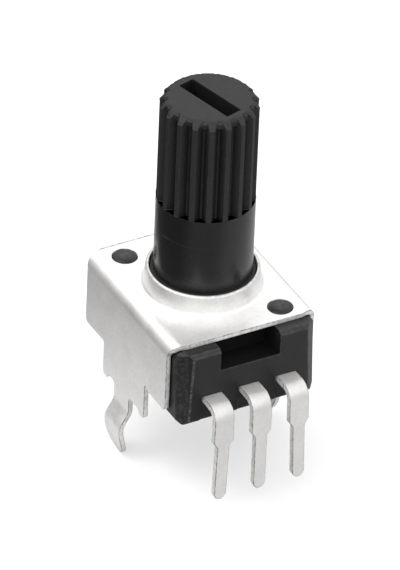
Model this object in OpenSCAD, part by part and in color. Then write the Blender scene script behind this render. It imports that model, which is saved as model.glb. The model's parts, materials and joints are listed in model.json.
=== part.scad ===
// Rotary potentiometer, 9 mm class, upright, with snap-in legs and a serrated plastic shaft.
// Millimetres. The origin is on the shaft axis, level with the circuit board's face.
// The shaft points to +Z and the three terminals leave towards -Y.

/* [Cover] */
// Outside width over the two folded side walls
cover_width = 9.95; // [9.85:0.05:10.1]
// Shaft axis to the front edge of the top plate
cover_front = 5.45; // [5.4:0.05:5.55]
// Shaft axis to the rear edge of the top plate
cover_back = 5.65; // [5.5:0.05:6]
// Upper face of the top plate above the circuit board
plate_height = 7.1; // [6.8:0.1:7.4]
// Front edges of the side walls behind the front edge of the plate
front_setback = 0.5; // [0.4:0.05:0.6]
// Rear edges of the side walls before the rear edge of the plate
rear_setback = 0.35; // [0.25:0.05:0.4]
// Thickness of the sheet steel
sheet = 0.3; // [0.2:0.05:0.35]
// Outer radius of the folds between plate and walls
fold_radius = 0.85; // [0.7:0.05:0.95]
// Top plate to the lower edge of the plain side walls
wall_drop = 4.8; // [4.6:0.05:5]
// Rounding of the lower wall corners
wall_corner = 0.3; // [0.2:0.05:0.4]
// Shaft axis to the front end of the board shoulders
shoulder_front = 2.36; // [2.3:0.02:2.5]
// Shaft axis to the rear end of the board shoulders
shoulder_back = 2.93; // [2.85:0.02:3.1]

/* [Collar] */
// Bore of the drawn collar that guides the shaft
collar_bore = 6.5; // [6.4:0.05:6.6]
// Rim of the collar above the top plate
collar_height = 1.3; // [1.1:0.05:1.5]
// Radius of the sweep from plate into collar
collar_sweep = 0.75; // [0.6:0.05:0.85]

/* [Snap-in legs] */
// Width of each leg at its root
leg_width = 1.9; // [1.8:0.05:2]
// Offset of the legs behind the shaft axis
leg_centre = 0.48; // [0.4:0.02:0.5]
// How far the kink stands out from the wall
leg_kink = 0.6; // [0.4:0.05:0.75]
// Board face down to the middle of the kink
kink_drop = 2.1; // [1.9:0.1:2.3]
// Board face down to the leg tips
leg_reach = 4.15; // [4:0.05:4.4]

/* [Shaft] */
// Diameter of the shaft, plain part and serration crests
shaft_diameter = 6; // [5.9:0.05:6.05]
// Shaft tip above the top plate
shaft_height = 13.4; // [10:0.1:18]
// Length of the serrated end
serration_length = 7; // [5:0.1:7.5]
// Number of serrations
serration_count = 18; // [16:2:24]
// Depth of each serration
serration_depth = 0.48; // [0.35:0.01:0.55]
// Width of each serration's crest
crest_width = 0.3; // [0.2:0.02:0.4]
// Width of the floor between crests
floor_width = 0.12; // [0.06:0.02:0.2]
// Height of the smooth land above the serrations
tip_land = 0.42; // [0.3:0.02:0.5]
// Edge break at the shaft tip
tip_chamfer = 0.25; // [0.15:0.05:0.3]
// Length of the screwdriver slot
slot_length = 4.2; // [3.6:0.1:4.4]
// Width of the screwdriver slot
slot_width = 1.1; // [0.8:0.05:1.2]
// Depth of the screwdriver slot
slot_depth = 1.2; // [0.8:0.1:1.8]
// Radius of the rotor disc inside the housing
rotor_radius = 3.75; // [3.65:0.05:3.8]

/* [Travel] */
// Total electrical and mechanical turn
turn_angle = 280; // [260:5:285]

/* [Housing] */
// Shaft axis to the front face of the housing
housing_front = 6.3; // [6.2:0.05:6.5]
// Shaft axis to the rear face of the housing
housing_back = 5.2; // [5.1:0.05:5.4]
// Top plate to the underside of the housing
housing_drop = 5.3; // [5.25:0.05:5.5]
// Sideways bevel of the two front corners
corner_bevel = 0.57; // [0.5:0.01:0.62]
// Lengthways bevel of the two front corners
corner_run = 0.6; // [0.5:0.02:0.64]
// Slant of those bevels towards the top plate in degrees
corner_draft = 2; // [0:0.5:3]
// Bevel of the lower front edges
edge_bevel = 0.25; // [0.1:0.05:0.35]
// Width of the notch in the front wall
notch_width = 4; // [3.4:0.1:4.2]
// Top plate to the floor of the notch
notch_drop = 1.84; // [1.6:0.02:2]
// How far the hollow behind the notch runs back
notch_run = 2.05; // [1.8:0.05:2.1]
// Floor of that hollow below the floor of the notch
notch_step = 0.3; // [0.2:0.02:0.34]
// Diameter of the two staked posts
stake_diameter = 1.5; // [1.3:0.05:1.6]
// Sideways place of the staked posts
stake_x = 3; // [2.9:0.05:3.1]
// Lengthways place of the staked posts
stake_y = 4.28; // [4.24:0.02:4.36]

/* [Terminals] */
// Distance between neighbouring terminals
terminal_pitch = 2.5; // [2.4:0.05:2.54]
// Width of the upper part of each terminal
terminal_width = 1.3; // [1.2:0.05:1.4]
// Width of each solder pin
pin_width = 0.8; // [0.6:0.05:0.9]
// Thickness of the terminal strip
terminal_thickness = 0.4; // [0.3:0.05:0.45]
// Top plate to the upper face of the terminals
terminal_drop = 3.45; // [3.4:0.05:3.6]
// Shaft axis to the outer face of the solder pins
pin_plane = 8; // [7.8:0.05:8.2]
// Outer radius of the terminals' bend
terminal_bend = 0.9; // [0.7:0.05:1]
// Top plate to the shoulder where the pins narrow
shoulder_drop = 5.8; // [5.5:0.05:6.1]
// Board face down to the pin tips
pin_reach = 2.9; // [2.8:0.05:3.2]
// Sideways lean of the two outer pins in degrees
pin_splay = 1.6; // [0:0.1:2]

/* [Element] */
// Thickness of the element board
board_thickness = 0.6; // [0.5:0.05:0.7]
// Thickness of the printed layers
film = 0.05; // [0.03:0.01:0.06]
// Middle radius of the resistive track
track_radius = 2.6; // [2.5:0.05:2.65]
// Middle radius of the collector ring
ring_radius = 1.6; // [1.55:0.05:1.7]
// Radial width of the printed bands
band_width = 0.6; // [0.5:0.02:0.64]
// Radius of the rivet shanks
rivet_radius = 0.4; // [0.35:0.01:0.45]
// Radius of the rivet heads
rivet_head = 0.62; // [0.56:0.02:0.66]

/* [Fits] */
// Radial play of the shaft in collar and base
running_play = 0.05; // [0.02:0.01:0.08]
// Gap around parts that are pressed or laid in
seat_gap = 0.04; // [0.02:0.01:0.06]

/* [Hidden] */
$fn = 96;
e = 0.5;
z_top = plate_height;
z_under = z_top - sheet;
z_rim = z_top + collar_height;
z_fold = z_top - fold_radius;
z_wall = z_top - wall_drop;
half_out = cover_width / 2;
half_in = half_out - sheet;
half_body = half_in - seat_gap;
half_pocket = half_body - 0.55;
z_floor = z_top - housing_drop;
z_strip = z_top - terminal_drop;
z_below = z_strip - terminal_thickness;
z_board = z_strip + board_thickness;
z_film = z_board + film;
rotor_gap = 0.75;
z_rotor = z_film + rotor_gap;
z_disc = z_under - running_play;
stage_gap = 0.1;
z_stage = z_rim + stage_gap;
z_tip = z_top + shaft_height;
z_serration = z_tip - serration_length;
shaft_radius = shaft_diameter / 2;
crest_radius = shaft_radius - 0.015;
journal_radius = collar_bore / 2 - running_play;
neck_depth = 0.25;
land_radius = crest_radius - 0.27;
cavity_radius = rotor_radius + 0.15;
pivot_radius = 0.75;
pivot_depth = 0.85;
front_wall = 0.67;
pocket_front = housing_front - front_wall;
pocket_back = housing_back - 0.87;
rivet_y = -4.9;
lug_half = 18;
stop_half = 180 - turn_angle / 2 - lug_half - 0.3;
lug_inner = 3.12;
track_gap = 30;
rest_angle = 15;
wiper_disc = 3.02;
wiper_sheet = 0.14;
wiper_edge = -1.1;
peg_x = -1.95;
peg_y = 1.15;
peg_radius = 0.3;
peg_length = 0.32;
arm_width = 0.44;
contact_play = 0.03;
post_radius = stake_diameter / 2;
leg_front = leg_centre - leg_width / 2;
leg_back = leg_centre + leg_width / 2;
wall_front = cover_front - front_setback;
wall_back = cover_back - rear_setback;
kink_start = 0.6;
relief = 0.3;

function arc(cx, cy, r, a0, a1, n) =
    [for (i = [0:n]) let (a = a0 + (a1 - a0) * i / n) [cx + r * cos(a), cy + r * sin(a)]];
function smooth(t) = (1 - cos(180 * t)) / 2;

// Side view of a wall: plain edge, board shoulders and pointed leg, as [y, z]
wall_outline = concat(
    [[-wall_front, z_fold], [wall_back, z_fold]],
    arc(wall_back - wall_corner, z_wall + wall_corner, wall_corner, 0, -90, 5),
    [[shoulder_back + 0.2, z_wall]],
    arc(shoulder_back + 0.15, z_wall - 0.15, 0.15, 90, 180, 3),
    arc(shoulder_back - 0.25, 0.25, 0.25, 0, -90, 5),
    [[leg_back + 0.95, 0], [leg_back + 0.78, relief * 0.6], [leg_back + 0.55, relief], [leg_back + 0.25, relief],
     [leg_back + 0.05, relief * 0.5], [leg_back, 0],
     [leg_back, 1.1 - leg_reach], [leg_back - 0.25, 0.55 - leg_reach], [leg_back - 0.7, 0.2 - leg_reach],
     [leg_centre - 0.05, 0.02 - leg_reach], [leg_centre - 0.15, -leg_reach], [leg_centre - 0.3, 0.05 - leg_reach],
     [leg_centre - 0.55, 0.25 - leg_reach], [leg_front + 0.14, 0.6 - leg_reach], [leg_front, 1 - leg_reach],
     [leg_front, relief * 0.5], [leg_front - 0.06, relief * 0.9], [leg_front - 0.2, relief],
     [0.85 - shoulder_front, relief], [0.68 - shoulder_front, relief * 0.6], [0.56 - shoulder_front, 0]],
    arc(0.22 - shoulder_front, 0.22, 0.22, -90, -180, 5),
    [[-shoulder_front, z_wall + 0.08]],
    arc(-shoulder_front - 0.1, z_wall + 0.08, 0.1, 0, 180, 4),
    [[-shoulder_front - 0.28, z_wall]],
    arc(wall_corner - wall_front, z_wall + wall_corner, wall_corner, -90, -180, 5)
);

// Front view of a wall: straight, then kinked outwards below the board and back in, as [x, z]
kink_n = 9;
kink_outer = concat(
    [[0, z_fold], [0, -kink_start]],
    [for (i = [1:kink_n]) [leg_kink * smooth(i / kink_n), -kink_start - (kink_drop - kink_start) * i / kink_n]],
    [for (i = [1:kink_n]) [leg_kink - (leg_kink - 0.05) * pow(i / kink_n, 1.5),
        -kink_drop - (leg_reach + 0.1 - kink_drop) * i / kink_n]]
);
kink_inner = [for (i = [len(kink_outer) - 1:-1:0]) kink_outer[i] - [sheet * (i < 2 ? 1 : 1.05), 0]];

// Plan of the sheet's right side, cut back slantwise over the fold
corner_plan = [[half_out - fold_radius - 0.2, -cover_front], [half_out - fold_radius, 0.05 - cover_front],
    [half_out - 0.5 * fold_radius, -wall_front - 0.56 * front_setback],
    [half_out - 0.13 * fold_radius, -wall_front - 0.26 * front_setback], [half_out, -wall_front],
    [half_out, wall_back], [half_out - 0.13 * fold_radius, wall_back + 0.3 * rear_setback],
    [half_out - 0.5 * fold_radius, wall_back + 0.6 * rear_setback],
    [half_out - fold_radius, cover_back - 0.05], [half_out - fold_radius - 0.2, cover_back]];

// Side view of the housing with its bevelled lower and upper front edges, as [y, z]
module body_prism(inset, top) {
    f = -housing_front + inset;
    rotate([90, 0, 90])
        translate([0, 0, -8])
            linear_extrude(16)
                polygon([[f + edge_bevel, z_floor], [housing_back - inset, z_floor], [housing_back - inset, top],
                    [f + 0.22, top], [f, top - 0.22], [f, z_floor + edge_bevel]]);
}

module ring_sector(r0, r1, z0, z1, a0, a1) {
    rotate([0, 0, a0])
        translate([0, 0, z0])
            rotate_extrude(angle = a1 - a0)
                translate([r0, 0])
                    square([r1 - r0, z1 - z0]);
}

module fold(side) {
    intersection() {
        translate([side * (half_out - fold_radius), cover_back, z_fold])
            rotate([90, 0, 0])
                difference() {
                    cylinder(r = fold_radius, h = cover_front + cover_back);
                    translate([0, 0, -e])
                        cylinder(r = fold_radius - sheet, h = cover_front + cover_back + 2 * e);
                }
        translate([side > 0 ? half_out - fold_radius : -half_out - e, -cover_front - e, z_fold])
            cube([fold_radius + e, cover_front + cover_back + 2 * e, fold_radius + e]);
        translate([0, 0, z_fold - e])
            linear_extrude(fold_radius + 2 * e)
                polygon([for (p = corner_plan) [side * p[0], p[1]]]);
        rotate([90, 0, 90])
            translate([0, 0, -8])
                linear_extrude(16)
                    polygon([[-wall_front, z_fold - e], [-wall_front, z_fold],
                        [-wall_front - 0.26 * front_setback, z_fold + 0.35 * fold_radius],
                        [0.05 - cover_front, z_under - 0.05], [0.05 - cover_front, z_top + e],
                        [cover_back - 0.05, z_top + e], [cover_back - 0.05, z_under - 0.05],
                        [wall_back + 0.3 * rear_setback, z_fold + 0.35 * fold_radius],
                        [wall_back, z_fold], [wall_back, z_fold - e]]);
    }
}

module side_wall(side) {
    intersection() {
        translate([side * half_out, wall_back + e, 0])
            rotate([90, 0, 0])
                linear_extrude(wall_front + wall_back + 2 * e)
                    polygon([for (p = concat(kink_outer, kink_inner)) [side * p[0], p[1]]]);
        rotate([90, 0, 90])
            translate([0, 0, side > 0 ? half_out - 1.5 : -half_out - 1.5])
                linear_extrude(3)
                    polygon(wall_outline);
    }
}

// Steel cover: top plate, drawn collar, folds, side walls, shoulders and legs in one sheet
module cover() {
    flat = half_out - fold_radius;
    sweep_r = shaft_diameter / 2 + 0.6 + collar_sweep;
    inner_r = collar_bore / 2 + collar_sweep + sheet;
    color([0.8, 0.8, 0.78])
        difference() {
            union() {
                translate([0, 0, z_under])
                    linear_extrude(sheet)
                        polygon([[-flat, 0.05 - cover_front], [0.2 - flat, -cover_front], [flat - 0.2, -cover_front],
                            [flat, 0.05 - cover_front], [flat, cover_back - 0.05], [flat - 0.2, cover_back],
                            [0.2 - flat, cover_back], [-flat, cover_back - 0.05]]);
                fold(-1);
                fold(1);
                side_wall(-1);
                side_wall(1);
                rotate_extrude()
                    polygon(concat(
                        [[0, z_under], [sweep_r, z_under]],
                        arc(sweep_r, z_top + collar_sweep, collar_sweep, 270, 180, 8),
                        [[collar_bore / 2 + 0.2, z_rim - 0.1], [collar_bore / 2 + 0.12, z_rim], [0, z_rim]]));
            }
            rotate_extrude()
                polygon(concat(
                    [[0, z_under - e], [inner_r, z_under - e]],
                    arc(inner_r, z_top + collar_sweep, collar_sweep + sheet, 270, 180, 8),
                    [[collar_bore / 2, z_rim + e], [0, z_rim + e]]));
            for (s = [-1, 1])
                translate([s * stake_x, -s * stake_y, z_under - e])
                    cylinder(r = post_radius + 0.02, h = sheet + 2 * e);
        }
}

// Moulded housing: rotor cavity, turn stop, board pocket, terminal slots and two staked posts
module housing() {
    color([0.16, 0.16, 0.17])
        difference() {
            union() {
                difference() {
                    intersection() {
                        translate([0, 0, z_floor - e])
                            linear_extrude(z_under - z_floor + 2 * e)
                                polygon([[-half_body, -housing_front], [half_body, -housing_front],
                                    [half_body, housing_back], [-half_body, housing_back]]);
                        body_prism(0, z_under);
                        fold_clearance();
                        rotate([90, 0, 0])
                            translate([0, 0, -8])
                                linear_extrude(16)
                                    polygon([[edge_bevel - half_body, z_floor], [half_body - edge_bevel, z_floor],
                                        [half_body, z_floor + edge_bevel], [half_body, z_under + e],
                                        [-half_body, z_under + e], [-half_body, z_floor + edge_bevel]]);
                    }
                    translate([0, 0, z_floor - e])
                        cylinder(r = cavity_radius, h = z_under - z_floor + 2 * e);
                }
                intersection() {
                    ring_sector(lug_inner - 0.05, cavity_radius + 0.2, z_film + 0.1, z_rotor - 0.05,
                        270 - stop_half, 270 + stop_half);
                    cylinder(r = cavity_radius + 0.1, h = z_top);
                }
                for (s = [-1, 1])
                    translate([s * stake_x, -s * stake_y, 0])
                        rotate_extrude()
                            polygon([[0, z_under - 0.2], [post_radius, z_under - 0.2], [post_radius, z_top - 0.02],
                                [post_radius - 0.1, z_top + 0.06], [post_radius - 0.3, z_top + 0.11], [0, z_top + 0.13]]);
            }
            translate([-half_pocket, -pocket_front, z_floor - e])
                cube([2 * half_pocket, pocket_front + pocket_back, z_film - z_floor + e]);
            for (i = [-1:1]) {
                translate([i * terminal_pitch - terminal_width / 2 - 2 * seat_gap, -housing_front - e, z_floor - e])
                    cube([terminal_width + 4 * seat_gap, front_wall + 2 * e, z_strip + 0.02 - z_floor + e]);
                translate([i * terminal_pitch, rivet_y, z_board])
                    cylinder(r = rivet_head + 0.1, h = 0.4);
            }
            notch();
            for (s = [-1, 1])
                corner_cut(s);
        }
}

// Notch in the front wall and the hollow behind it
module notch() {
    f = -housing_front;
    z = z_top - notch_drop;
    rotate([90, 0, 90])
        translate([0, 0, -notch_width / 2])
            linear_extrude(notch_width)
                polygon([[f - e, z], [f + 0.12, z], [f + 0.12 + notch_step, z - notch_step],
                    [f + notch_run, z - notch_step], [f + notch_run, z_top], [f - e, z_top]]);
}

// Slanting bevel of a front corner
module corner_cut(side) {
    a = atan2(corner_bevel, corner_run);
    translate([side * half_body, corner_run - housing_front, z_floor])
        rotate([0, 0, side > 0 ? -a : 180 + a])
            rotate([0, -corner_draft, 0])
                translate([0, -3, -1])
                    cube([2, 6, 8]);
}

// Room for the rounded inside of the cover's folds
module fold_clearance() {
    r = fold_radius - sheet;
    rotate([90, 0, 0])
        translate([0, 0, -8])
            linear_extrude(16)
                polygon(concat(
                    [[-half_body - e, z_floor - e], [half_body + e, z_floor - e], [half_body + e, z_fold - 0.1]],
                    [[half_body, z_fold - 0.1]],
                    arc(half_in - r, z_fold, r - seat_gap, 0, 90, 4),
                    [[half_in - r - 0.1, z_under + e], [r + 0.1 - half_in, z_under + e]],
                    arc(r - half_in, z_fold, r - seat_gap, 90, 180, 4),
                    [[-half_body, z_fold - 0.1], [-half_body - e, z_fold - 0.1]]));
}

// Moulded base that closes the housing from below, with the lower bearing of the shaft
module base_plate() {
    color([0.13, 0.13, 0.14])
        intersection() {
            difference() {
                union() {
                    translate([seat_gap - half_pocket, seat_gap - pocket_front, z_floor])
                        cube([2 * (half_pocket - seat_gap), pocket_front + pocket_back - 2 * seat_gap, z_below - z_floor]);
                    for (i = [-1:1])
                        translate([i * terminal_pitch - terminal_width / 2 - seat_gap, 0.06 - housing_front, z_floor])
                            cube([terminal_width + 2 * seat_gap, front_wall + 0.2, z_below - z_floor]);
                }
                translate([0, 0, z_below - pivot_depth])
                    cylinder(r = pivot_radius + running_play, h = pivot_depth + e);
                for (i = [-1:1])
                    translate([i * terminal_pitch, rivet_y, z_below - 0.24])
                        cylinder(r = rivet_head + 0.08, h = 0.24 + e);
            }
            body_prism(0.06, z_under);
        }
}

// Serrated outline with a crest at each end of the screwdriver slot
module serration() {
    a = asin(crest_width / 2 / crest_radius);
    b = asin(floor_width / 2 / (crest_radius - serration_depth));
    p = 360 / serration_count;
    polygon([for (i = [0:serration_count - 1], k = [0:3])
        let (t = 90 + i * p + [-a, a, p / 2 - b, p / 2 + b][k], r = k < 2 ? crest_radius : crest_radius - serration_depth)
            [r * cos(t), r * sin(t)]]);
}

// Shaft and rotor in one moulding
module shaft() {
    color([0.2, 0.2, 0.21])
        rotate([0, 0, rest_angle])
            difference() {
                union() {
                    rotate_extrude()
                        polygon([[0, z_rotor], [rotor_radius, z_rotor], [rotor_radius, z_disc - 0.1],
                            [rotor_radius - 0.1, z_disc], [journal_radius, z_disc], [journal_radius, z_rim - 0.2],
                            [journal_radius - 0.05, z_rim - 0.15], [shaft_radius - neck_depth, z_rim - 0.15],
                            [shaft_radius - neck_depth, z_stage], [shaft_radius, z_stage],
                            [shaft_radius, z_serration], [0, z_serration]]);
                    intersection() {
                        translate([0, 0, z_serration - e])
                            linear_extrude(serration_length - tip_land + 2 * e)
                                serration();
                        rotate_extrude()
                            polygon([[0, z_serration - 2 * e], [shaft_radius + e, z_serration - 2 * e],
                                [shaft_radius + e, z_tip - tip_land - 0.55 * tip_chamfer],
                                [shaft_radius - 0.02, z_tip - tip_land], [land_radius, z_tip - 0.5 * tip_chamfer],
                                [land_radius - tip_chamfer, z_tip], [0, z_tip]]);
                    }
                    rotate_extrude()
                        polygon([[0, z_tip - tip_land - 0.1], [land_radius - 0.12, z_tip - tip_land - 0.1],
                            [land_radius - 0.01, z_tip - tip_land],
                            [land_radius - 0.01, z_tip - 0.5 * tip_chamfer - 0.005],
                            [land_radius - tip_chamfer - 0.01, z_tip - 0.005], [0, z_tip - 0.005]]);
                    ring_sector(lug_inner, rotor_radius - 0.05, z_film + 0.15, z_rotor + 0.2, 90 - lug_half, 90 + lug_half);
                    translate([0, 0, z_below - pivot_depth + running_play])
                        cylinder(r = pivot_radius, h = z_rotor - z_below + pivot_depth);
                    for (s = [-1, 1])
                        translate([peg_x, s * peg_y, z_rotor - peg_length])
                            cylinder(r = peg_radius, h = peg_length + 0.08);
                }
                translate([-slot_width / 2, -slot_length / 2, z_tip - slot_depth])
                    cube([slot_width, slot_length, slot_depth + e]);
            }
}

// Sprung arm of the wiper in side view, as [x, z]
module wiper_arm(y) {
    t = wiper_sheet;
    z0 = z_rotor;
    z1 = z_film + contact_play;
    translate([0, y + arm_width / 2, 0])
        rotate([90, 0, 0])
            linear_extrude(arm_width)
                polygon([[wiper_edge - 0.7 * t, z0 - t], [wiper_edge, z0 - t], [-0.7 * t, z1 + 0.35 * t], [0, z1],
                    [0.7 * t, z1 + 0.15 * t], [2.4 * t, z1 + 1.9 * t], [1.9 * t, z1 + 2.6 * t],
                    [0.35 * t, z1 + 1.15 * t], [-0.35 * t, z1 + 1.35 * t], [wiper_edge + 0.3 * t, z0],
                    [wiper_edge - 0.7 * t, z0]]);
}

// Stamped wiper with one arm on the track and one on the ring
module wiper() {
    color([0.78, 0.66, 0.4])
        rotate([0, 0, rest_angle])
            union() {
                difference() {
                    intersection() {
                        translate([0, 0, z_rotor - wiper_sheet])
                            cylinder(r = wiper_disc, h = wiper_sheet);
                        translate([-2 * wiper_disc, -wiper_disc - e, z_rotor - rotor_gap])
                            cube([2 * wiper_disc + wiper_edge, 2 * wiper_disc + 2 * e, 2 * rotor_gap]);
                    }
                    for (s = [-1, 1])
                        translate([peg_x, s * peg_y, z_rotor - rotor_gap])
                            cylinder(r = peg_radius + 0.02, h = 2 * rotor_gap);
                }
                wiper_arm(track_radius);
                wiper_arm(ring_radius);
            }
}

// Board of resin-bonded paper that carries the printed element
module element_board() {
    color([0.45, 0.27, 0.13])
        difference() {
            translate([seat_gap - half_pocket, seat_gap - pocket_front, z_strip])
                cube([2 * (half_pocket - seat_gap), pocket_front + pocket_back - 2 * seat_gap, board_thickness]);
            translate([0, 0, z_strip - e])
                cylinder(r = pivot_radius + 0.15, h = board_thickness + 2 * e);
            for (i = [-1:1])
                translate([i * terminal_pitch, rivet_y, z_strip - e])
                    cylinder(r = rivet_radius + 0.01, h = board_thickness + 2 * e);
        }
}

module resistive_track() {
    color([0.07, 0.07, 0.08])
        ring_sector(track_radius - band_width / 2, track_radius + band_width / 2, z_board, z_film,
            track_gap - 90, 270 - track_gap);
}

module pad(x) {
    translate([x, rivet_y, z_board])
        cylinder(r = rivet_head + 0.06, h = film);
}

module pad_hole(x) {
    translate([x, rivet_y, z_board - e])
        cylinder(r = rivet_radius + 0.01, h = film + 2 * e);
}

module collector_ring() {
    color([0.75, 0.75, 0.74])
        difference() {
            union() {
                ring_sector(ring_radius - band_width / 2, ring_radius + band_width / 2, z_board, z_film, 0, 360);
                translate([-0.28, rivet_y, z_board])
                    cube([0.56, -rivet_y - ring_radius, film]);
                pad(0);
            }
            pad_hole(0);
        }
}

module electrode(side) {
    w = band_width;
    r0 = track_radius - w / 2;
    r1 = track_radius + w / 2;
    a = track_gap - 90;
    color([0.75, 0.75, 0.74])
        difference() {
            union() {
                if (side > 0)
                    ring_sector(r0, r1, z_board, z_film, a - 12, a);
                else
                    ring_sector(r0, r1, z_board, z_film, 180 - a, 192 - a);
                translate([0, 0, z_board])
                    linear_extrude(film)
                        polygon([for (p = [[r0 * cos(a - 9), r0 * sin(a - 9) - w / 4],
                                [(r1 - w / 6) * cos(a - 3), (r1 - w / 6) * sin(a - 3)],
                                [terminal_pitch + 2 * w / 3, rivet_y + w / 3], [terminal_pitch - 5 * w / 6, rivet_y]])
                            [side * p[0], p[1]]]);
                pad(side * terminal_pitch);
            }
            pad_hole(side * terminal_pitch);
        }
}

module left_electrode() {
    electrode(-1);
}

module right_electrode() {
    electrode(1);
}

// Terminal strip: flat under the board, bent down outside, wide above and narrow as a solder pin
module terminal(i) {
    x = i * terminal_pitch;
    w = terminal_width / 2;
    n = pin_width / 2;
    y0 = -pin_plane;
    zs = z_top - shoulder_drop;
    zt = -pin_reach;
    k = i * tan(pin_splay);
    zk = z_strip - terminal_bend;
    outline = [[-w, z_strip + e], [-w, zs], [-n - 0.05, zs - 0.3], [-n, zs - 0.38], [-n, zt + 0.35],
        [-n + 0.12, zt + 0.12], [-n + 0.26, zt + 0.02], [-0.08, zt], [0.08, zt], [n - 0.26, zt + 0.02],
        [n - 0.12, zt + 0.12], [n, zt + 0.35], [n, zs - 0.38], [n + 0.05, zs - 0.3], [w, zs], [w, z_strip + e]];
    color([0.85, 0.85, 0.84])
        difference() {
            union() {
                translate([x - w, y0 + terminal_bend, z_below])
                    cube([terminal_width, -y0 - terminal_bend + rivet_y, terminal_thickness]);
                translate([x, rivet_y, z_below])
                    cylinder(r = w, h = terminal_thickness);
                intersection() {
                    union() {
                        translate([x - 2, y0 + terminal_bend, zk])
                            rotate([0, 90, 0])
                                intersection() {
                                    difference() {
                                        cylinder(r = terminal_bend, h = 4);
                                        translate([0, 0, -e])
                                            cylinder(r = terminal_bend - terminal_thickness, h = 4 + 2 * e);
                                    }
                                    translate([-terminal_bend - e, -terminal_bend - e, -e])
                                        cube([terminal_bend + e, terminal_bend + e, 4 + 2 * e]);
                                }
                        translate([x - 2, y0, zt])
                            cube([4, terminal_thickness, zk - zt]);
                    }
                    translate([x, 0, 0])
                        rotate([90, 0, 0])
                            linear_extrude(pin_plane + 1)
                                polygon([for (p = outline) [p[0] + k * max(0, zk - p[1]), p[1]]]);
                }
            }
            translate([x, rivet_y, z_below - e])
                cylinder(r = rivet_radius + 0.01, h = terminal_thickness + 2 * e);
        }
}

module left_terminal() {
    terminal(-1);
}

module wiper_terminal() {
    terminal(0);
}

module right_terminal() {
    terminal(1);
}

// Hollow rivet that joins a printed pad to its terminal
module rivet(i) {
    c = 0.18;
    color([0.8, 0.72, 0.5])
        translate([i * terminal_pitch, rivet_y, 0])
            rotate_extrude()
                polygon([[rivet_radius - c, z_below - 0.2], [rivet_head, z_below - 0.2], [rivet_head, z_below],
                    [rivet_radius, z_below], [rivet_radius, z_film], [rivet_head, z_film],
                    [rivet_head - 0.12, z_film + 0.2], [rivet_radius - c, z_film + 0.2]]);
}

module left_rivet() {
    rivet(-1);
}

module wiper_rivet() {
    rivet(0);
}

module right_rivet() {
    rivet(1);
}

cover();
housing();
base_plate();
shaft();
wiper();
element_board();
resistive_track();
collector_ring();
left_electrode();
right_electrode();
left_terminal();
wiper_terminal();
right_terminal();
left_rivet();
wiper_rivet();
right_rivet();
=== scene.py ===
import json
import math

import bmesh
import bpy
from mathutils import Matrix, Vector

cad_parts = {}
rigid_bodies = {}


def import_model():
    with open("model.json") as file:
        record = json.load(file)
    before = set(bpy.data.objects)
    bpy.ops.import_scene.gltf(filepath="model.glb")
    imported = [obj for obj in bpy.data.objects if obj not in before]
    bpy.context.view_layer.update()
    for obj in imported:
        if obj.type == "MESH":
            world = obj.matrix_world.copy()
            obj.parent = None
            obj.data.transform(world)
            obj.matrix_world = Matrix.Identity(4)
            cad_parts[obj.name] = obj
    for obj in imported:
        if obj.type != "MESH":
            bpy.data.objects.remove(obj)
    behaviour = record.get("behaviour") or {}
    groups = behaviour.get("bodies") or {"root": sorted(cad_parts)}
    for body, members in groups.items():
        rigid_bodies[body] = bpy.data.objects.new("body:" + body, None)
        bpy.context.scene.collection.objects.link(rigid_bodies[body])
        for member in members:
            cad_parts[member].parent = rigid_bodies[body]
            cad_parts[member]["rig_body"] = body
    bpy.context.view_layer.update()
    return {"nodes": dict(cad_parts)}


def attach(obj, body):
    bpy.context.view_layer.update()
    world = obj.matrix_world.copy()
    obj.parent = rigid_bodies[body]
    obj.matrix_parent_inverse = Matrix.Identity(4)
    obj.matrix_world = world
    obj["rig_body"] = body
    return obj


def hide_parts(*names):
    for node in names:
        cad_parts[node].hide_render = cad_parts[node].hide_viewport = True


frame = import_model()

# Lengths are in millimetres unless a comment says otherwise, and heights count from the circuit board
MM = 0.001
MICROMETRE = 1e-6
PLATE_TOP = 7.1
PLATE_REAR = 5.65
FOLD_START = 4.125
COLLAR_TOP = 8.4
COLLAR_RADIUS = 3.55
FLARE_RADIUS = 0.3
FLARE_FOOT = COLLAR_RADIUS + FLARE_RADIUS
CAD_FLARE_RADIUS = 0.75
CAD_FLARE_FOOT = 4.35
GROOVE_HEIGHTS = (COLLAR_TOP - 0.2, COLLAR_TOP + 0.15)
GROOVE_RADII = (2.6, 2.9)
SHAFT_RADIUS = 3.0
SERRATION_FOOT = 13.5
TIP = 20.5
STAKES = ((3.0, -4.28), (-3.0, 4.28))

# Thickness of the pieces cut from sheet, by material
SHEETS = {"cover": 0.3, "strip": 0.4}

# The housing's notch and front: faces there take a copy of the plastic with less shine as painted shade, and
# the front corners a wider bevel
NOTCH_HALF_WIDTH = 2.02
NOTCH_FRONT, NOTCH_REAR, NOTCH_FLOOR = -6.24, -4.2, 4.9
WALL_FRONT, WALL_INSIDE = -4.9, 4.58
CORNER_FRONT, CORNER_SIDE, CORNER_HEIGHT = -6.2, 3.7, 2.0

# Where a look fades in: the coordinate at which it starts, and the one from which it is full
# The painted highlight on the housing's edges grows to full at the front left corner
CORNER_Y, CORNER_X = (-5.9, -6.1), (-3.4, -4.0)
FACET_Y, FACET_X = (-5.3, -5.45), (-4.05, -4.12)
LEDGE_Y, LEDGE_Z = (-5.9, -6.0), (6.35, 6.6)
STAKE_REACH = (0.5, 0.36)
MATT_Z = (SERRATION_FOOT + 0.03, SERRATION_FOOT + 0.08)
# The first pair of heights paints the plain part's colour lighter towards the collar, against the shade there
FOOT_PAINTED_LIGHT_Z, FOOT_GLOSS_Z, SPECKS_Z = (8.9, 8.5), (9.1, 8.6), (11.0, 8.6)
# Painted shade: the serration's valleys and the slot in the tip are darkened inside these radii, below the
# tip
VALLEY_REACH, SLOT_REACH = (2.86, 2.6), (2.3, 2.25)
SLOT_Z, BELOW_TIP_Z = (TIP - 0.5, TIP - 0.6), (TIP - 0.04, TIP - 0.1)

# Height and half width of the fine ring around the plain part of the shaft
RING = (11.6, 0.03)
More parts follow.
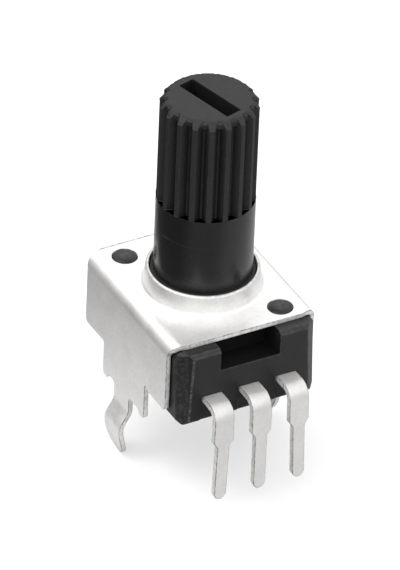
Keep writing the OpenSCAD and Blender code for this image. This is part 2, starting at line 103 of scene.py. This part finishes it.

# How edges are found and broken; painted shade darkens a rim at the collar's top, and faintly a shoulder
# below it
HARD_ANGLE = math.radians(28)
CREASE_ANGLE = math.radians(40)
SQUARE_ANGLE = math.radians(65)
FLAT_ANGLE = math.radians(0.6)
BEVEL_STEPS = 2
SLIVER = 0.001
FOOT_MERGE, FOOT_SLIVER = 0.1, 0.008
ON_FLARE, ON_FOOT, NEAR_PLATE = 0.02, 0.015, 0.1
RIM_DEPTH, RIM_PAINTED_SHADE = 0.085, 0.4
SHOULDER_DEPTH, SHOULDER_PAINTED_SHADE = 0.16, 0.08

# Stage; the floor's radius is in metres, and the directions point from the part into the studio
FLOOR_RADIUS = 4.0
FLOOR_LEVEL = -4.15
FLOOR_GLOW = 0.38
STUDIO_STRENGTH = 1.42
DARK_SIDE = (-0.70, 0.71, 0.05)
FRONT_BOX = (-0.34, -0.6, 0.72)
SKY_LEVELS = ((0.0, 0.45), (0.1, 0.5), (0.3, 0.78), (0.45, 1.08), (0.7, 1.02), (0.85, 0.72), (1.0, 0.6))
WHITE = (1, 1, 1, 1)

# The photograph's height in pixels
IMAGE_HEIGHT = 570

# Colour sockets of a Mix node
MIX_A, MIX_B, MIX_OUT = 6, 7, 2


# Camera

def make_camera():
    """Long lens at the photograph's viewing angle, with its slight roll."""
    azimuth, elevation, roll = (math.radians(d) for d in (29.281, 35.587, 2.404))
    distance, focal_px, aim_right, aim_height = 710.6, 11870.0, -0.127, 6.835
    back = Vector((-math.sin(azimuth) * math.cos(elevation), -math.cos(azimuth) * math.cos(elevation),
                   math.sin(elevation)))
    side = Vector((math.cos(azimuth), -math.sin(azimuth), 0))
    above = back.cross(side)
    right = math.cos(roll) * side + math.sin(roll) * above
    up = -math.sin(roll) * side + math.cos(roll) * above
    aim = aim_right * side + Vector((0, 0, aim_height))
    data = bpy.data.cameras.new("camera")
    data.sensor_fit = "AUTO"
    data.sensor_width = 36
    data.lens = focal_px / IMAGE_HEIGHT * data.sensor_width
    data.clip_start, data.clip_end = 0.01, 20
    cam = bpy.data.objects.new("camera", data)
    bpy.context.scene.collection.objects.link(cam)
    turn = Matrix((right, up, back)).transposed().to_4x4()
    cam.matrix_world = Matrix.Translation((aim + back * distance) * MM) @ turn
    bpy.context.scene.camera = cam


# Node trees

class Tree:
    """Small helper that adds nodes and links them."""

    def __init__(self, tree):
        self.tree = tree
        tree.nodes.clear()

    def fill(self, socket, value):
        """Links the socket if value is another socket, and otherwise sets its constant."""
        if isinstance(value, bpy.types.NodeSocket):
            self.tree.links.new(value, socket)
        else:
            socket.default_value = value

    def add(self, kind, **inputs):
        """Adds a node. set_NAME sets its property NAME; other keys fill the input of that name or number."""
        node = self.tree.nodes.new(kind)
        for key, value in inputs.items():
            if key.startswith("set_"):
                setattr(node, key.removeprefix("set_"), value)
        for key, value in inputs.items():
            if not key.startswith("set_"):
                numbered = key[0] == "i" and key[1:].isdigit()
                self.fill(node.inputs[int(key[1:]) if numbered else key.replace("_", " ")], value)
        return node

    def millimetres(self, scale=(1, 1, 1), turn=(0, 0, 0)):
        """Object coordinates in millimetres, stretched by scale."""
        place = self.add("ShaderNodeTexCoord")
        return self.add("ShaderNodeMapping", Vector=place.outputs["Object"], Rotation=turn,
                        Scale=[s / MM for s in scale]).outputs["Vector"]

    def axes(self):
        """The outputs X, Y and Z of the object coordinates in millimetres."""
        return self.add("ShaderNodeSeparateXYZ", Vector=self.millimetres()).outputs

    def noise(self, scale, detail=2.0, stretch=(1, 1, 1), turn=(0, 0, 0), rough=0.5):
        """Grey noise with about `scale` grains to the millimetre."""
        return self.add("ShaderNodeTexNoise", Vector=self.millimetres(stretch, turn), Scale=scale,
                        Detail=detail, Roughness=rough).outputs["Fac"]

    def spread(self, value, a, b, c=0.0, d=1.0):
        """Maps a..b to c..d and clamps."""
        return self.add("ShaderNodeMapRange", Value=value, i1=a, i2=b, i3=c, i4=d).outputs["Result"]

    def fade(self, value, a, b, most=1.0):
        """Rises smoothly from 0 at a to `most` at b."""
        return self.add("ShaderNodeMapRange", set_interpolation_type="SMOOTHSTEP", Value=value,
                        i1=a, i2=b, i3=0.0, i4=most).outputs["Result"]

    def math(self, op, a, b=0.0, c=0.0):
        return self.add("ShaderNodeMath", set_operation=op, i0=a, i1=b, i2=c).outputs[0]

    def times(self, a, b):
        return self.math("MULTIPLY", a, b)

    def plus(self, a, b):
        return self.math("ADD", a, b)

    def larger(self, a, b):
        return self.math("MAXIMUM", a, b)

    def vector_math(self, op, a, b):
        """A vector operation that gives one number."""
        return self.add("ShaderNodeVectorMath", set_operation=op, i0=a, i1=b).outputs["Value"]

    def mix(self, factor, a, b):
        """Colour mix; a colour is a socket or its red, green and blue."""
        node = self.add("ShaderNodeMix", set_data_type="RGBA", i0=factor)
        for index, colour in ((MIX_A, a), (MIX_B, b)):
            linked = isinstance(colour, bpy.types.NodeSocket)
            self.fill(node.inputs[index], colour if linked else (*colour, 1))
        return node.outputs[MIX_OUT]

    def bump(self, height, depth_um, normal=None):
        """Relief of that depth in micrometres, on top of another relief if one is given."""
        under = {"Normal": normal} if normal else {}
        return self.add("ShaderNodeBump", Height=height, Distance=depth_um * MICROMETRE, Strength=1.0,
                        **under).outputs["Normal"]

    def attribute(self, name):
        return self.add("ShaderNodeAttribute", set_attribute_name=name).outputs["Fac"]

    def reach(self):
        """Distance from the shaft axis in millimetres."""
        place = self.axes()
        x, y = place["X"], place["Y"]
        return self.math("SQRT", self.plus(self.times(x, x), self.times(y, y)))


# Materials

def toned(colour, factor):
    """The colour made lighter or darker by a factor."""
    return [factor * c for c in colour]


def grey(level):
    return level, level, level


def surface(name, build):
    """A material whose Principled inputs come from build(tree); constants are set on the sockets."""
    mat = bpy.data.materials.new(name)
    mat.use_nodes = True
    tree = Tree(mat.node_tree)
    shader = tree.add("ShaderNodeBsdfPrincipled")
    for key, value in build(tree).items():
        tree.fill(shader.inputs[key], value)
    out = tree.add("ShaderNodeOutputMaterial", Surface=shader.outputs[0])
    out.is_active_output = True
    return mat


def tinned_sheet(base, rough, tint=(1, 0.99, 0.972), metallic=0.8, rear=None):
    """Tin-plated sheet: cloudy satin gloss, crossing scratches, mottled painted shade on its broken edges and
    rims, and torn sheared faces.

    Where rear is given, a band of painted shade ends the sheet at that Y.
    """
    def build(t):
        cloud = t.noise(0.9, 4)
        fine = t.noise(7, 3)
        lengthwise = t.spread(t.noise(1, 2, (0.35, 14, 0.9), (0.2, 0.3, 0.5)), 0.62, 0.72)
        crosswise = t.spread(t.noise(1, 2, (16, 0.4, 0.7), (0.5, 0.1, 0.2)), 0.64, 0.74)
        scratches = t.larger(lengthwise, crosswise)
        # Painted shade: broken edges, the collar's top and the rear band are darkened, mottled by noise
        rim = t.attribute("edge_wear_and_painted_light")
        cut = t.attribute("cut")
        if rear:
            band = t.spread(t.axes()["Y"], rear - 0.16, rear - 0.1, 0, 0.9)
            rim = t.larger(rim, t.times(band, t.math("SUBTRACT", 1.0, cut)))
        rim = t.times(rim, t.spread(t.noise(3.5, 4), 0.36, 0.6, 0.35, 1.0))
        torn = t.spread(t.noise(5, 3, (1, 1, 0.6)), 0.38, 0.62)
        grain = t.plus(t.times(cloud, 0.5), t.times(t.noise(5, 2), 0.5))
        colour = t.mix(t.spread(grain, 0.32, 0.68), toned(tint, base * 0.91), toned(tint, base * 1.05))
        colour = t.mix(cut, colour, t.mix(torn, toned(tint, base * 0.82), toned(tint, base * 1.06)))
        colour = t.mix(t.times(rim, 0.9), colour, toned(tint, base * 0.16))
        gloss = t.plus(t.times(cloud, 0.7), t.times(fine, 0.3))
        gloss = t.spread(gloss, 0.3, 0.7, rough - 0.04, rough + 0.05)
        gloss = t.plus(gloss, t.plus(t.times(scratches, 0.08), t.times(cut, 0.2)))
        relief = t.bump(t.math("SUBTRACT", fine, t.times(scratches, 0.5)), 1.2)
        relief = t.bump(t.noise(0.55, 2), 6, relief)
        return {"Base Color": colour, "Metallic": metallic, "Roughness": gloss, "Normal": relief}
    return build


def moulded(base, rough, shine=0.5):
    """Dark moulded plastic: fine grain, faint flow marks, light edges that are partly rubbed and partly a
    painted highlight, scuffs and pale stake heads.
    """
    def build(t):
        cloud = t.noise(0.8, 4)
        fine = t.noise(11, 3)
        place = t.axes()
        x, y, z = place["X"], place["Y"], place["Z"]
        # Broken edges are lightened, partly as rubbed plastic and partly as a painted highlight, most at the
        # front left corner
        edge_rub_and_highlight = t.times(t.attribute("edge_wear_and_painted_light"), t.spread(t.noise(5, 3), 0.34, 0.62))
        left_corner = t.times(t.spread(y, *CORNER_Y), t.spread(x, *CORNER_X))
        edge_rub_and_highlight = t.times(edge_rub_and_highlight, t.spread(left_corner, 0, 1, 0.35, 1))
        colour = t.mix(t.spread(cloud, 0.3, 0.7), toned(base, 0.8), toned(base, 1.2))
        colour = t.mix(t.times(t.spread(fine, 0.6, 0.8), 0.4), colour, toned(base, 3.0))
        colour = t.mix(edge_rub_and_highlight, colour, toned(base, 22))
        facet = t.times(t.spread(y, *FACET_Y), t.spread(x, *FACET_X))
        ledge = t.times(t.spread(y, *LEDGE_Y), t.spread(z, *LEDGE_Z, 0, 0.8))
        scuff = t.times(t.larger(facet, ledge), t.spread(t.noise(4.5, 5), 0.42, 0.7, 0, 0.42))
        colour = t.mix(scuff, colour, toned(base, 16))
        to_stakes = [t.vector_math("DISTANCE", t.millimetres(), (*stake, PLATE_TOP)) for stake in STAKES]
        head = t.spread(t.math("MINIMUM", *to_stakes), *STAKE_REACH)
        head = t.times(head, t.spread(t.noise(3.6, 3), 0.36, 0.66))
        colour = t.mix(head, colour, toned(base, 9))
        gloss = t.spread(fine, 0.3, 0.7, rough - 0.07, rough + 0.09)
        relief = t.bump(fine, 5, t.bump(cloud, 12))
        return {"Base Color": colour, "Roughness": gloss, "Normal": relief, "Specular IOR Level": shine}
    return build


def shaft_plastic(t):
    """Matt, gritty serrated end with painted shade in its valleys and tip slot and lightened broken edges,
    above a polished plain part that is duller at its foot and painted lighter there against shade.
    """
    cloud = t.noise(0.7, 4)
    fine = t.noise(10, 3)
    z = t.axes()["Z"]
    reach = t.reach()
    matt = t.spread(z, *MATT_Z)
    plain = t.mix(cloud, (0.004, 0.0041, 0.0045), (0.0066, 0.0067, 0.0072))
    # Painted light: the plain part is lighter towards its foot, against the shade by the collar
    plain = t.mix(t.spread(z, *FOOT_PAINTED_LIGHT_Z), plain, (0.0095, 0.0096, 0.0104))
    specks = t.times(t.spread(t.noise(5.5, 2), 0.69, 0.74), t.spread(z, *SPECKS_Z, 0.3, 0.9))
    plain = t.mix(specks, plain, (0.05, 0.05, 0.053))
    gritty = t.mix(cloud, (0.0088, 0.0089, 0.0094), (0.0128, 0.0129, 0.0136))
    gritty = t.mix(t.spread(t.noise(3.8, 6, rough=0.65), 0.36, 0.64), (0.0066, 0.0067, 0.0071), gritty)
    gritty = t.mix(t.spread(t.noise(4.6, 5, rough=0.65), 0.56, 0.72, 0, 0.5), gritty, (0.022, 0.0222, 0.0234))
    # Painted shade in the valleys and the slot in the tip
    valley = t.spread(reach, *VALLEY_REACH)
    painted_valley_shade = t.larger(valley, t.spread(z, *SLOT_Z))
    painted_valley_shade = t.times(painted_valley_shade, t.larger(valley, t.spread(reach, *SLOT_REACH)))
    painted_valley_shade = t.times(painted_valley_shade, t.spread(z, *BELOW_TIP_Z))
    gritty = t.mix(painted_valley_shade, gritty, (0.0026, 0.0026, 0.0029))
    colour = t.mix(matt, plain, gritty)
    # Broken edges of the serrated end are lightened, partly rubbed and partly a painted highlight
    edge_wear_and_painted_light = t.times(t.attribute("edge_wear_and_painted_light"), t.spread(t.noise(2.5, 3), 0.45, 0.75, 0.0, 0.5))
    colour = t.mix(t.times(edge_wear_and_painted_light, t.times(matt, 0.6)), colour, (0.035, 0.0355, 0.037))
    streak = t.noise(1, 2, (2.2, 2.2, 0.12))
    foot = t.spread(z, *FOOT_GLOSS_Z, 0.22, 0.5)
    gloss = t.plus(t.larger(foot, t.times(matt, 0.58)), t.times(streak, 0.06))
    ring = t.math("COMPARE", z, *RING)
    relief = t.bump(t.math("SUBTRACT", fine, t.times(ring, 2.0)), 2.5)
    relief = t.bump(streak, 3, relief)
    return {"Base Color": colour, "Roughness": gloss, "Normal": relief}


def printed(base, rough, metallic):
    """Printed or pressed inner pieces: cloudy tone and a fine grain."""
    def build(t):
        cloud = t.noise(1.6, 4)
        fine = t.noise(9, 3)
        colour = t.mix(t.spread(cloud, 0.3, 0.7), toned(base, 0.85), toned(base, 1.12))
        gloss = t.spread(fine, 0.3, 0.7, rough - 0.06, rough + 0.1)
        return {"Base Color": colour, "Metallic": metallic, "Roughness": gloss, "Normal": t.bump(fine, 3)}
    return build


MATERIALS = {
    "cover": surface("tinned_steel_sheet", tinned_sheet(0.88, rough=0.46, rear=PLATE_REAR)),
    "strip": surface("tinned_terminal_strip",
                     tinned_sheet(0.7, rough=0.5, tint=(1, 0.985, 0.965), metallic=0.55)),
    "housing": surface("moulded_housing", moulded((0.0034, 0.0035, 0.0039), rough=0.46)),
    # A copy of the housing's plastic with less shine, as painted shade in the notch and beside the walls
    "recess_painted_shade": surface("moulded_recess_painted_shade", moulded((0.0048, 0.0048, 0.0054), rough=0.7, shine=0.22)),
    "base": surface("moulded_base", moulded((0.003, 0.0031, 0.0034), rough=0.5)),
    "shaft": surface("moulded_shaft", shaft_plastic),
    "spring": surface("spring_sheet", printed((0.72, 0.58, 0.34), rough=0.26, metallic=1.0)),
    "paper": surface("resin_paper", printed((0.16, 0.075, 0.03), rough=0.5, metallic=0.0)),
    "carbon": surface("carbon_layer", printed((0.014, 0.014, 0.015), rough=0.42, metallic=0.0)),
    "silver": surface("silver_layer", printed((0.7, 0.69, 0.67), rough=0.38, metallic=1.0)),
    "brass": surface("rivet_metal", printed((0.74, 0.6, 0.33), rough=0.28, metallic=1.0)),
}


# Pieces

def reach_of(vert):
    """A vertex's distance from the shaft axis in millimetres."""
    return math.hypot(vert.co.x, vert.co.y) / MM


def set_reach(vert, reach):
    """Moves a vertex along its own radius to this distance from the shaft axis."""
    scale = reach / reach_of(vert)
    vert.co.x *= scale
    vert.co.y *= scale


def hard_edges(bm):
    return [e for e in bm.edges if len(e.link_faces) == 2 and e.calc_face_angle(0) > HARD_ANGLE]


def sheared(face, thickness):
    """True for a face cut through a sheet: as narrow as the sheet is thick, and square to its neighbours."""
    narrow, most = 0.6, 0.8
    around = sum(e.calc_length() for e in face.edges)
    if face.calc_area() > narrow * thickness * MM * around:
        return False
    square = sum(e.calc_length() for e in face.edges
                 if len(e.link_faces) == 2 and e.calc_face_angle(0) > SQUARE_ANGLE)
    return square > most * around


def close_groove(bm):
    """Fills the narrow groove of the CAD shaft just above the collar, where the photograph shows none."""
    for v in bm.verts:
        in_height = GROOVE_HEIGHTS[0] * MM < v.co.z < GROOVE_HEIGHTS[1] * MM
        if in_height and GROOVE_RADII[0] < reach_of(v) < GROOVE_RADII[1]:
            set_reach(v, SHAFT_RADIUS)


def level_fold(bm, x):
    """Cuts the plate's upper side where a fold starts, and lays the new points level with the plate."""
    facing_up, lowest = 0.5, 6.5
    bm.normal_update()
    tops = [f for f in bm.faces if f.normal.z > facing_up and all(v.co.z > lowest * MM for v in f.verts)]
    chosen = set(tops)
    edges = [e for e in bm.edges if any(f in chosen for f in e.link_faces)]
    verts = [v for v in bm.verts if any(f in chosen for f in v.link_faces)]
    made = bmesh.ops.bisect_plane(bm, geom=tops + edges + verts, dist=SLIVER * MM, plane_co=(x * MM, 0, 0),
                                  plane_no=(1, 0, 0))
    for v in made["geom_cut"]:
        if isinstance(v, bmesh.types.BMVert):
            v.co.z = PLATE_TOP * MM


def tighten_flare(bm):
    """Draws the collar's flare in to the photograph's tight radius, and levels the folds beside it."""
    shrink = FLARE_RADIUS / CAD_FLARE_RADIUS
    for v in bm.verts:
        outward = reach_of(v) - CAD_FLARE_FOOT
        upward = v.co.z / MM - PLATE_TOP
        off_arc = abs(math.hypot(outward, upward - CAD_FLARE_RADIUS) - CAD_FLARE_RADIUS)
        if abs(outward) < ON_FOOT and upward > -NEAR_PLATE:
            set_reach(v, FLARE_FOOT)
            v.co.z = PLATE_TOP * MM
        elif outward < 0 and off_arc < ON_FLARE:
            set_reach(v, COLLAR_RADIUS + (outward + CAD_FLARE_RADIUS) * shrink)
            v.co.z = (PLATE_TOP + upward * shrink) * MM
    foot = [v for v in bm.verts
            if v.co.z > (PLATE_TOP - 0.01) * MM and abs(reach_of(v) - FLARE_FOOT) < 0.01]
    bmesh.ops.remove_doubles(bm, verts=foot, dist=FOOT_MERGE * MM)
    left = {v for v in foot if v.is_valid}
    spokes = [e for e in bm.edges if any(v in left for v in e.verts)]
    bmesh.ops.dissolve_degenerate(bm, edges=spokes, dist=FOOT_SLIVER * MM)
    for side in (-1, 1):
        level_fold(bm, side * FOLD_START)


def recessed(face):
    """True for the housing's faces inside the notch and just in front of the cover's walls."""
    x, y, z = (c / MM for c in face.calc_center_median())
    facing_sideways = 0.9
    in_notch = abs(x) < NOTCH_HALF_WIDTH and NOTCH_FRONT < y < NOTCH_REAR and z > NOTCH_FLOOR
    by_wall = abs(x) > WALL_INSIDE and y < WALL_FRONT and abs(face.normal.x) > facing_sideways
    return in_notch or by_wall


def front_corner(edge):
    """True for the upright edges of the housing's front corners, which are bevelled wider and lightened,
    partly as a painted highlight.
    """
    a, b = (v.co for v in edge.verts)
    in_front = max(a.y, b.y) < CORNER_FRONT * MM
    at_side = min(abs(a.x), abs(b.x)) > CORNER_SIDE * MM
    upright = abs(a.z - b.z) > CORNER_HEIGHT * MM
    return in_front and at_side and upright


def round_edges(bm, edges, width, edge_wear_and_painted_light, cut):
    """Bevels the edges; the new faces get the edge mark 1, read for rubbed edges and for painted highlight
    and shade, and cut = 0.
    """
    before = set(bm.faces)
    made = bmesh.ops.bevel(bm, geom=edges, offset=width * MM, offset_type="OFFSET", segments=BEVEL_STEPS,
                           profile=0.5, affect="EDGES", clamp_overlap=False, harden_normals=False)
    for f in made["faces"]:
        if f.is_valid and f not in before:
            f[edge_wear_and_painted_light] = 1.0
            f[cut] = 0.0


def dress(node, material, width):
    """Puts a piece with the CAD node's outline and broken edges in the node's place.

    Its faces carry two marks that the materials read: one on broken edges and the collar's top, used for
    rubbed edges and for painted highlight and shade, and cut where a sheet was sheared.
    """
    bm = bmesh.new()
    bm.from_mesh(frame["nodes"][node].data)
    lowest = [min(v.co[i] for v in bm.verts) for i in range(3)]
    highest = [max(v.co[i] for v in bm.verts) for i in range(3)]
    if node == "shaft":
        close_groove(bm)
    bmesh.ops.remove_doubles(bm, verts=bm.verts, dist=2 * MICROMETRE)
    if node == "cover":
        tighten_flare(bm)
    bmesh.ops.dissolve_limit(bm, angle_limit=FLAT_ANGLE, verts=bm.verts, edges=bm.edges, delimit=set())
    cut = bm.faces.layers.float.new("cut")
    edge_wear_and_painted_light = bm.faces.layers.float.new("edge_wear_and_painted_light")
    if material in SHEETS:
        for f in bm.faces:
            if sheared(f, SHEETS[material]):
                f[cut] = 1.0
    if node == "housing":
        round_edges(bm, [e for e in hard_edges(bm) if front_corner(e)], 2 * width, edge_wear_and_painted_light, cut)
    round_edges(bm, hard_edges(bm), width, edge_wear_and_painted_light, cut)
    if node == "shaft":
        bmesh.ops.dissolve_degenerate(bm, edges=bm.edges, dist=SLIVER * MM)
    for f in bm.faces:
        f.smooth = True
        depth = COLLAR_TOP - f.calc_center_median().z / MM
        # The collar's top and the shoulder below it get painted shade through the edge mark
        if node == "cover" and depth < SHOULDER_DEPTH:
            f[edge_wear_and_painted_light] = RIM_PAINTED_SHADE if depth < RIM_DEPTH else SHOULDER_PAINTED_SHADE
            f[cut] = 0.0
        # Faces in the notch and beside the walls take the plastic's copy with less shine, as painted shade,
        # and no edge mark
        if node == "housing" and recessed(f):
            f[edge_wear_and_painted_light] = 0.0
            f.material_index = 1
    for v in bm.verts:
        v.co = [min(max(v.co[i], lowest[i]), highest[i]) for i in range(3)]
    mesh = bpy.data.meshes.new(node + "_dressed")
    bm.to_mesh(mesh)
    bm.free()
    mesh.set_sharp_from_angle(angle=CREASE_ANGLE)
    mesh.materials.append(MATERIALS[material])
    if node == "housing":
        mesh.materials.append(MATERIALS["recess_painted_shade"])
    piece = bpy.data.objects.new(node + "_dressed", mesh)
    bpy.context.scene.collection.objects.link(piece)
    weigh = piece.modifiers.new("weighted_normals", "WEIGHTED_NORMAL")
    weigh.keep_sharp = True
    weigh.weight = 80
    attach(piece, frame["nodes"][node]["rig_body"])
    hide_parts(node)


# CAD node, material, slot of the record and width of the broken edges
DRESSED = (
    ("cover", "cover", "tinned_steel", 0.04),
    ("housing", "housing", "housing_black", 0.04),
    ("base_plate", "base", "housing_black", 0.03),
    ("shaft", "shaft", "shaft_black", 0.03),
    ("wiper", "spring", "spring_alloy", 0.01),
    ("element_board", "paper", "paper_resin", 0.02),
    ("left_terminal", "strip", "tinned_strip", 0.04),
    ("wiper_terminal", "strip", "tinned_strip", 0.04),
    ("right_terminal", "strip", "tinned_strip", 0.04),
)
for node, material, slot, width in DRESSED:
    dress(node, material, width)

# Inner CAD nodes that keep their mesh, and their material
KEPT = {
    "resistive_track": "carbon",
    "collector_ring": "silver",
    "left_electrode": "silver",
    "right_electrode": "silver",
    "left_rivet": "brass",
    "wiper_rivet": "brass",
    "right_rivet": "brass",
}
for node, material in KEPT.items():
    frame["nodes"][node].data.materials[0] = MATERIALS[material]


# Stage and light

def make_floor():
    """Pale floor, white for the camera; for glossy rays a painted reflection, greyer off the part and dark to
    the back left.
    """
    bm = bmesh.new()
    bmesh.ops.create_circle(bm, cap_ends=True, segments=96, radius=FLOOR_RADIUS)
    for v in bm.verts:
        v.co.z = FLOOR_LEVEL * MM
    mesh = bpy.data.meshes.new("floor")
    bm.to_mesh(mesh)
    bm.free()
    floor = bpy.data.objects.new("floor", mesh)
    bpy.context.scene.collection.objects.link(floor)
    mat = bpy.data.materials.new("pale_floor")
    mat.use_nodes = True
    t = Tree(mat.node_tree)
    rays = t.add("ShaderNodeLightPath").outputs
    place = t.axes()

    def beyond(direction, near, far):
        """Rises from 0 to 1 between two distances from the axis in that direction."""
        along = t.plus(t.times(place["X"], direction[0]), t.times(place["Y"], direction[1]))
        return t.fade(along, near, far)

    # Painted reflection: what glossy rays see of the floor, greyer further out and dark in patches to the
    # front left and back left
    painted_reflection = t.mix(t.fade(t.reach(), 18.0, 34.0), (0.57, 0.57, 0.565), grey(0.36))
    painted_reflection = t.mix(beyond((-0.79, -0.61), 7.0, 16.0), painted_reflection, grey(0.26))
    painted_reflection = t.mix(beyond((-0.872, 0.489), 11.0, 20.0), painted_reflection, grey(0.06))
    shiny = t.larger(rays["Is Glossy Ray"], rays["Is Transmission Ray"])
    colour = t.mix(shiny, (0.8, 0.8, 0.795), painted_reflection)
    colour = t.mix(rays["Is Camera Ray"], colour, grey(1.0))
    plain = t.add("ShaderNodeBsdfDiffuse", Color=colour)
    white = t.add("ShaderNodeEmission", Color=WHITE, Strength=1.0)
    share = t.times(rays["Is Camera Ray"], FLOOR_GLOW)
    mixed = t.add("ShaderNodeMixShader", i0=share, i1=plain.outputs[0], i2=white.outputs[0])
    t.add("ShaderNodeOutputMaterial", Surface=mixed.outputs[0])
    mesh.materials.append(mat)


def make_world():
    """White for the camera; for the part a soft studio, light at the front left and dark at the back left."""
    world = bpy.data.worlds.new("studio")
    bpy.context.scene.world = world
    world.use_nodes = True
    t = Tree(world.node_tree)
    place = t.add("ShaderNodeTexCoord").outputs["Generated"]
    ramp = t.add("ShaderNodeValToRGB", Fac=t.add("ShaderNodeSeparateXYZ", Vector=place).outputs["Z"])
    stops = ramp.color_ramp.elements
    stops[0].position = SKY_LEVELS[0][0]
    stops[1].position = SKY_LEVELS[-1][0]
    for position, _ in SKY_LEVELS[1:-1]:
        stops.new(position)
    for stop, (_, level) in zip(stops, SKY_LEVELS):
        stop.color = (*grey(level), 1)
    dark = t.fade(t.vector_math("DOT_PRODUCT", place, DARK_SIDE), 0.8, 0.97, 0.9)
    light = t.fade(t.vector_math("DOT_PRODUCT", place, FRONT_BOX), 0.72, 0.92)
    shown = t.mix(dark, ramp.outputs["Color"], grey(0.04))
    shown = t.mix(light, shown, grey(1.15))
    studio = t.add("ShaderNodeBackground", Color=shown, Strength=STUDIO_STRENGTH)
    white = t.add("ShaderNodeBackground", Color=WHITE, Strength=1.0)
    seen = t.add("ShaderNodeLightPath").outputs["Is Camera Ray"]
    mixed = t.add("ShaderNodeMixShader", i0=seen, i1=studio.outputs[0], i2=white.outputs[0])
    t.add("ShaderNodeOutputWorld", Surface=mixed.outputs[0])


def area_light(name, place, aim, size, watts):
    """A round lamp at place that points at aim; these lengths are in metres."""
    data = bpy.data.lights.new(name, "AREA")
    data.shape = "DISK"
    data.size = size
    data.energy = watts
    lamp = bpy.data.objects.new(name, data)
    bpy.context.scene.collection.objects.link(lamp)
    lamp.location = Vector(place)
    lamp.rotation_mode = "QUATERNION"
    lamp.rotation_quaternion = (Vector(place) - Vector(aim)).to_track_quat("Z", "Y")


make_camera()
make_floor()
make_world()
area_light("key", place=(-0.25, 0.12, 0.45), aim=(0, 0, 0.006), size=0.22, watts=0.7)
bpy.context.scene.view_settings.view_transform = "Standard"
